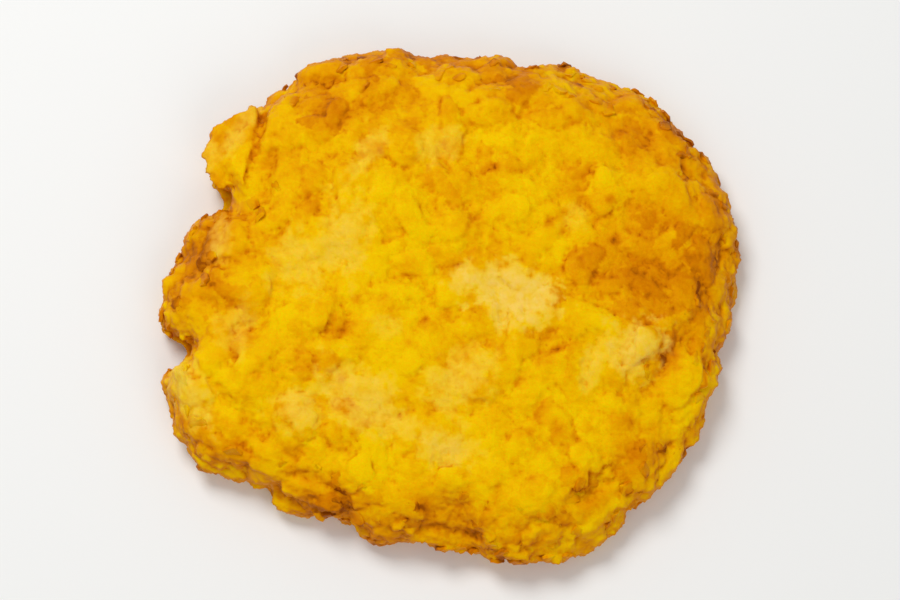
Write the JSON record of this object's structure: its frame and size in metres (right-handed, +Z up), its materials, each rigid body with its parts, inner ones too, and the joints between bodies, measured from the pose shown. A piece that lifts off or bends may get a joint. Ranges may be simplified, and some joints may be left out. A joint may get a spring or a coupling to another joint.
{
  "type": "potato rosti",
  "caption": "Pan-fried patty of coarse potato pieces with lumpy golden faces, an uneven rim with torn notches and a flat underside.",
  "frame": {"origin": "middle of the patty's footprint, on the surface that it rests on", "axes": "+Z up out of the fried face that shows, +X to the right along the patty's longer width, -Y to its front as served"},
  "size_m": [0.1036, 0.094, 0.0141],
  "materials": {
    "fried_potato": "golden fried potato crust, orange-brown at the rim and between the lumps, pale where bare potato shows, satin with a little oil"
  },
  "bodies": {
    "root": {"rosti": "fried_potato"}
  },
  "joints": []
}
